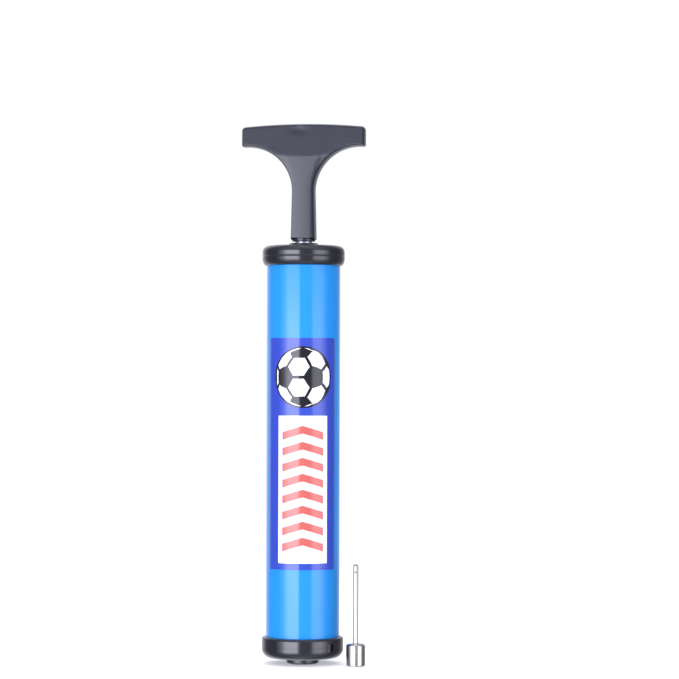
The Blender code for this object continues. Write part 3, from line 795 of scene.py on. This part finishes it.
def make_handle(mats):
    """The T handle, moulded in one piece, with a short spigot round the rod under its stem."""
    low = mm_box("t_handle")[0]
    ob = to_object("handle_grip", grip_mesh(low.z), mats["charcoal"])
    ob.data.transform(Matrix.Rotation(GRIP_TURN, 4, "Z"))
    rod = mm_box("piston_rod")
    hole_r = rod[1].x + 0.1
    hole = [(0.0, low.z - 1), (hole_r, low.z - 1), (hole_r, rod[1].z + 0.3), (0.0, rod[1].z + 0.3)]
    cut_out(ob, turned("rod_hole_tool", hole, mats["charcoal"], 64))
    spigot_r = hole_r + 1.05
    spigot_low = low.z - 0.55
    spigot = [(hole_r, spigot_low), (spigot_r - 0.15, spigot_low), (spigot_r, spigot_low + 0.15)]
    spigot += [(spigot_r, low.z + 0.6), (hole_r, low.z + 0.6)]
    place(turned("handle_spigot", spigot, mats["charcoal"], 96), "handle", "t_handle")
    return place(ob, "handle", "t_handle")


def make_rod(mats):
    """The plated tube between the handle and the piston."""
    low, high = mm_box("piston_rod")
    outer, inner = high.x, high.x - ROD_WALL
    points = [(inner, low.z), (outer, low.z), (outer, high.z), (inner, high.z)]
    ob = turned("rod", rounded(points, [0.2] * 4, 3), mats["chrome"], 96)
    return place(ob, "handle", "piston_rod")


# ---------------------------------------------------------------- needle


def make_needle(mats):
    """The needle's hub, and its thin tube with a closed round tip and a side port."""
    low, high = mm_box("needle_hub")
    tip = mm_box("needle_tube")[1].z
    at = ((low.x + high.x) / 2, (low.y + high.y) / 2)
    r = (high.x - low.x) / 2
    tube_r, bore = 1.0, 0.5
    pocket_r, pocket_low = 1.15, 1.6
    points = [(bore, 0.0), (r - 0.7, 0.0), (r, 0.5), (r, high.z - 0.7), (r - 0.7, high.z)]
    points += [(1.5, high.z), (1.2, high.z - 0.25), (pocket_r, high.z - 0.3)]
    points += [(pocket_r, pocket_low), (bore, pocket_low)]
    radii = [0.1, 0.15, 0.15, 0.2, 0.2, 0.15, 0.0, 0.0, 0.0, 0.0]
    hub = turned("needle_hub_body", rounded(points, radii, 4), mats["nickel"], 96, at)
    place(hub, "needle", "needle_hub")
    tube_low = pocket_low + REST_GAP
    tube = [(bore, tube_low), (tube_r, tube_low), (tube_r, tip - tube_r)]
    tube += arc(0.0, tip - tube_r, tube_r, 0, 90, 8)[1:-1]
    tube += [(0.0, tip), (0.0, tip - 1.5), (bore, tip - 1.5)]
    pipe = turned("needle_pipe", tube, mats["nickel"], 48, at)
    port = bmesh.new()
    bmesh.ops.create_cone(port, cap_ends=True, segments=24, radius1=0.4, radius2=0.4, depth=2.0)
    port_up = tip - 3.2
    aim = Matrix.Translation((at[0], at[1] - tube_r, port_up)) @ Matrix.Rotation(math.radians(90), 4, "X")
    bmesh.ops.transform(port, matrix=aim, verts=port.verts)
    cut_out(pipe, to_object("port_tool", port, mats["nickel"]))
    pipe.data.shade_smooth()
    pipe.data.set_sharp_from_angle(angle=SHARP_EDGE)
    place(pipe, "needle", "needle_tube")


# ---------------------------------------------------------------- stage


def make_stage():
    """A plain pale floor that fades into a white surround."""
    white_glow = 1.02
    bm = bmesh.new()
    bmesh.ops.create_circle(bm, cap_ends=True, segments=96, radius=2500.0)
    m, tree, shader, at = start_material("floor_card", Roughness=0.9, Emission_Strength=0.36)
    shader.inputs["Base Color"].default_value = linear("F4F4F5")
    shader.inputs["Emission Color"].default_value = (1, 1, 1, 1)
    shader.inputs["Specular IOR Level"].default_value = 0.0
    floor = to_object("floor", bm, m)
    away = add(tree, "ShaderNodeVectorMath", {0: at}, operation="LENGTH")
    fade = add(tree, "ShaderNodeMapRange", {"Value": away.outputs["Value"], "From Min": 0.1, "From Max": 0.5})
    glow = add(tree, "ShaderNodeEmission", {"Color": (1, 1, 1, 1), "Strength": white_glow})
    both = add(
        tree,
        "ShaderNodeMixShader",
        {0: fade.outputs["Result"], 1: shader.outputs["BSDF"], 2: glow.outputs["Emission"]},
    )
    tree.links.new(both.outputs["Shader"], tree.nodes["Material Output"].inputs["Surface"])
    floor.visible_glossy = False
    floor.visible_diffuse = False
    bm = bmesh.new()
    bmesh.ops.create_uvsphere(bm, u_segments=48, v_segments=24, radius=6000.0)
    white, tree, *_ = start_material("surround_white")
    glow = add(tree, "ShaderNodeEmission", {"Color": (1, 1, 1, 1), "Strength": white_glow})
    tree.links.new(glow.outputs["Emission"], tree.nodes["Material Output"].inputs["Surface"])
    surround = to_object("surround", bm, white)
    surround.visible_diffuse = False
    surround.visible_glossy = False
    surround.visible_transmission = False
    surround.visible_shadow = False


def make_lights():
    """Two tall soft boxes and the room round them, all drawn on the sky by direction."""
    world = bpy.data.worlds.new("studio")
    world.use_nodes = True
    tree = world.node_tree
    ray = add(tree, "ShaderNodeTexCoord").outputs["Generated"]
    axes = add(tree, "ShaderNodeSeparateXYZ", {"Vector": ray}).outputs
    front = add(tree, "ShaderNodeMath", {0: axes["Y"], 1: -1.0}, operation="MULTIPLY").outputs["Value"]
    azimuth = add(tree, "ShaderNodeMath", {0: axes["X"], 1: front}, operation="ARCTAN2").outputs["Value"]

    def band(value, points):
        """Brightness against an angle in degrees, straight between the given points."""
        total = None
        for (a0, b0), (a1, b1) in zip(points, points[1:]):
            piece = add(
                tree,
                "ShaderNodeMapRange",
                {
                    "Value": value,
                    "From Min": math.radians(a0),
                    "From Max": math.radians(a1),
                    "To Min": b0 if total is None else 0.0,
                    "To Max": b1 if total is None else b1 - b0,
                },
            ).outputs["Result"]
            if total is not None:
                piece = add(tree, "ShaderNodeMath", {0: total, 1: piece}).outputs["Value"]
            total = piece
        return total

    boxes = band(azimuth, LEFT_BOX + RIGHT_BOX)
    rise = add(tree, "ShaderNodeMath", {0: axes["Z"]}, operation="ARCSINE").outputs["Value"]
    tall = band(rise, BOX_HEIGHT)
    around = band(azimuth, ROOM_LIGHT)
    high = band(rise, ROOM_HEIGHT)
    boxes = add(tree, "ShaderNodeMath", {0: boxes, 1: tall}, operation="MULTIPLY").outputs["Value"]
    room = add(tree, "ShaderNodeMath", {0: around, 1: high}, operation="MULTIPLY").outputs["Value"]
    both = add(tree, "ShaderNodeMath", {0: boxes, 1: room}).outputs["Value"]
    back = tree.nodes["Background"]
    back.inputs["Color"].default_value = linear("E6E8F6")
    tree.links.new(both, back.inputs["Strength"])
    bpy.context.scene.world = world


def make_camera():
    """A long lens at mid height of the pump, aimed a little up and to its right."""
    distance = 1.10
    eye = 0.116
    seen_width = 0.2784  # at the pump
    aside, up = 0.0148, 0.0165  # of the point it is aimed at
    roll = math.radians(0.16)
    cam = bpy.data.cameras.new("camera")
    cam.sensor_width = 36.0
    cam.lens = cam.sensor_width * distance / seen_width
    ob = bpy.data.objects.new("camera", cam)
    ob.location = (0.0, -distance, eye)
    aim = Vector((aside, 0.0, eye + up))
    ob.rotation_mode = "QUATERNION"
    look = (aim - ob.location).to_track_quat("-Z", "Y")
    ob.rotation_quaternion = look @ Quaternion((0.0, 0.0, 1.0), roll)
    bpy.context.scene.collection.objects.link(ob)
    bpy.context.scene.camera = ob
    bpy.context.scene.view_settings.view_transform = "Standard"


def main():
    mats = {
        "blue": blue_abs(),
        "black": black_abs(),
        "nylon": black_nylon(),
        "charcoal": charcoal_polypropylene(),
        "film_violet": printed_film("film_printed_violet", "2C43AE", "3048B4"),
        "film_white": printed_film("film_printed_white", "E9E9EE", "F1F1F5"),
        "film_coral": printed_film("film_printed_coral", "C65C54", "CC655D"),
        "film_black": printed_film("film_printed_black", "0E0B14", "14101C"),
        "nickel": metal("nickel_plated_brass", "A3A09A", "B4B1AB", 0.16, 0.26, 1.57, 0.004),
        "chrome": metal("chromed_steel_tube", "B6B8BC", "C6C8CC", 0.08, 0.14, 1.26, 0.001),
        "steel": metal("steel_turned", "9A9B9E", "ABACAF", 0.25, 0.38, 1.88, 0.01),
        "brass": metal("brass_turned", "C29A4E", "D2AC62", 0.2, 0.34, 1.88, 0.01),
        "rubber": black_rubber(),
        "acetal": white_acetal(),
    }
    make_camera()
    make_stage()
    make_lights()
    make_barrel(mats)
    make_top_cap(mats)
    make_guide(mats)
    make_bottom_cap(mats)
    make_nozzle(mats)
    make_spring(mats)
    make_label(mats)
    make_handle(mats)
    make_rod(mats)
    make_needle(mats)
    kept = {
        "barrel_gasket": "rubber",
        "nozzle_gasket": "rubber",
        "valve_seat": "brass",
        "check_ball": "steel",
        "piston_head": "acetal",
        "piston_wear_ring": "acetal",
        "piston_cup": "rubber",
        "cup_spreader": "steel",
        "stop_bumper": "rubber",
        "rod_end_plug": "brass",
        "screw_washer": "steel",
        "piston_screw": "steel",
    }
    for node, mat in kept.items():
        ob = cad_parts[node]
        ob.data.materials.clear()
        ob.data.materials.append(mats[mat])


main()
